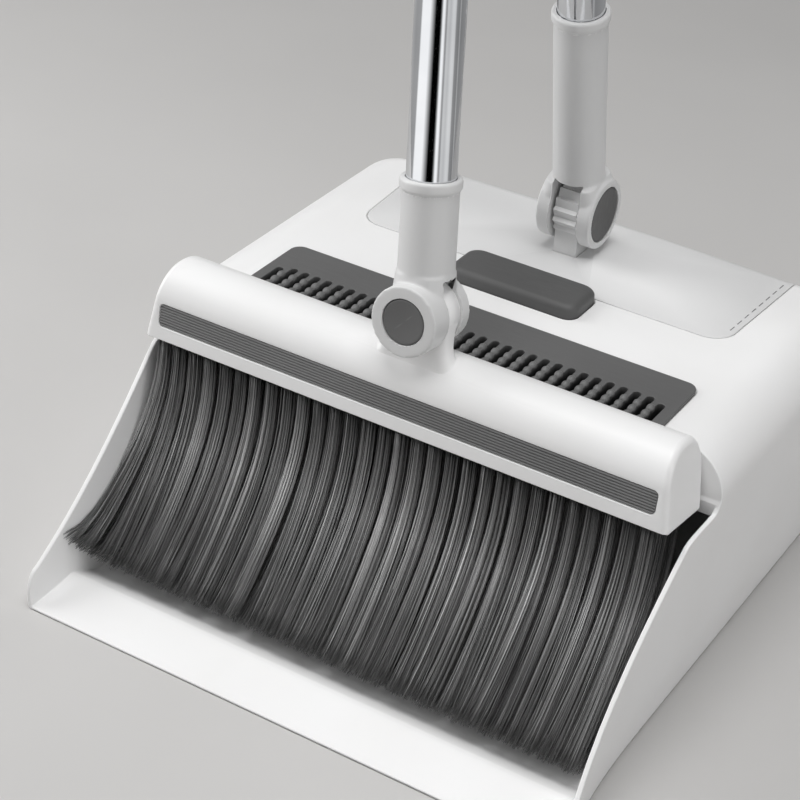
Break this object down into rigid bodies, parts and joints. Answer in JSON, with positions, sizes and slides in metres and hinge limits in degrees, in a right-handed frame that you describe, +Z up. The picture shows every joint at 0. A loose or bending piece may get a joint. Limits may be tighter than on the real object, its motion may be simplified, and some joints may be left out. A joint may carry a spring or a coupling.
{
  "type": "upright dust pan and brush set",
  "caption": "Upright dust pan with a hooded bin, bristle comb and folding pole, and a bristle brush with a tilting pole stored in its mouth.",
  "frame": {"origin": "centre of the pan's flat underside", "axes": "+X to the right across the mouth as the user faces the rear, +Y to the closed rear, +Z up"},
  "size_m": [0.2988, 0.309, 0.8924],
  "materials": {
    "white_plastic": "satin moulded polypropylene",
    "dark_grey_plastic": "matte",
    "pale_grey_plastic": "satin",
    "zinc_steel": "plated springs, pins and screws",
    "charcoal_bristle": "fine split filaments",
    "polished_steel": "polished stainless tube"
  },
  "bodies": {
    "pan": {"pan_body": "white_plastic", "comb_plate": "dark_grey_plastic", "deck_panel": "pale_grey_plastic", "pad_tray": "pale_grey_plastic", "hinge_lug": "pale_grey_plastic", "lug_screw_left": "zinc_steel", "lug_screw_right": "zinc_steel", "deck_screw_1": "zinc_steel", "deck_screw_2": "zinc_steel", "deck_screw_3": "zinc_steel", "deck_screw_4": "zinc_steel", "pad_spring_left": "zinc_steel", "pad_spring_right": "zinc_steel"},
    "foot_pad": {"foot_pad": "dark_grey_plastic"},
    "pan_handle": {"pan_fork": "pale_grey_plastic", "pan_pin": "zinc_steel", "pan_button_spring": "zinc_steel", "pan_cap": "dark_grey_plastic", "pan_tube_lower": "polished_steel", "pan_coupler": "pale_grey_plastic", "pan_tube_upper": "polished_steel", "pan_grip": "dark_grey_plastic", "pan_hang_cap": "white_plastic", "storage_clip": "white_plastic"},
    "pan_release": {"pan_button": "dark_grey_plastic"},
    "broom_head": {"head_shell": "white_plastic", "head_strip": "dark_grey_plastic", "tuft_block": "dark_grey_plastic", "block_screw_left": "zinc_steel", "block_screw_right": "zinc_steel", "bristles_front": "charcoal_bristle", "bristles_middle": "charcoal_bristle", "bristles_rear": "charcoal_bristle"},
    "broom_handle": {"broom_fork": "pale_grey_plastic", "broom_pin": "zinc_steel", "broom_button_spring": "zinc_steel", "broom_cap": "dark_grey_plastic", "broom_tube_lower": "polished_steel", "broom_coupler": "pale_grey_plastic", "broom_tube_upper": "polished_steel", "broom_grip": "dark_grey_plastic", "broom_hang_cap": "white_plastic"},
    "broom_release": {"broom_button": "dark_grey_plastic"}
  },
  "joints": [
    {"name": "pan_handle_fold", "type": "hinge", "parent": "pan", "child": "pan_handle", "pos_m": [0, 0.1069, 0.1598], "axis": [1, 0, 0], "range_deg": [-100, 0]},
    {"name": "pan_button_press", "type": "slide", "parent": "pan_handle", "child": "pan_release", "axis": [-1, 0, 0], "range_m": [0, 0.0022], "stiffness_N_per_m": 400, "springref_m": -0.002, "deforming": ["pan_button_spring"]},
    {"name": "foot_pad_press", "type": "slide", "parent": "pan", "child": "foot_pad", "axis": [0, 0, -1], "range_m": [0, 0.003], "stiffness_N_per_m": 1500, "springref_m": -0.002, "deforming": ["pad_spring_left", "pad_spring_right"]},
    {"name": "broom_lift", "type": "slide", "parent": "pan", "child": "broom_head", "axis": [0, 0, 1], "range_m": [0, 0.2]},
    {"name": "broom_handle_tilt", "type": "hinge", "parent": "broom_head", "child": "broom_handle", "pos_m": [0, -0.04495, 0.1688], "axis": [0, -0.9877, 0.1564], "range_deg": [-2, 74]},
    {"name": "broom_button_press", "type": "slide", "parent": "broom_handle", "child": "broom_release", "axis": [0, 0.9877, -0.1564], "range_m": [0, 0.0022], "stiffness_N_per_m": 400, "springref_m": -0.002, "deforming": ["broom_button_spring"]}
  ]
}
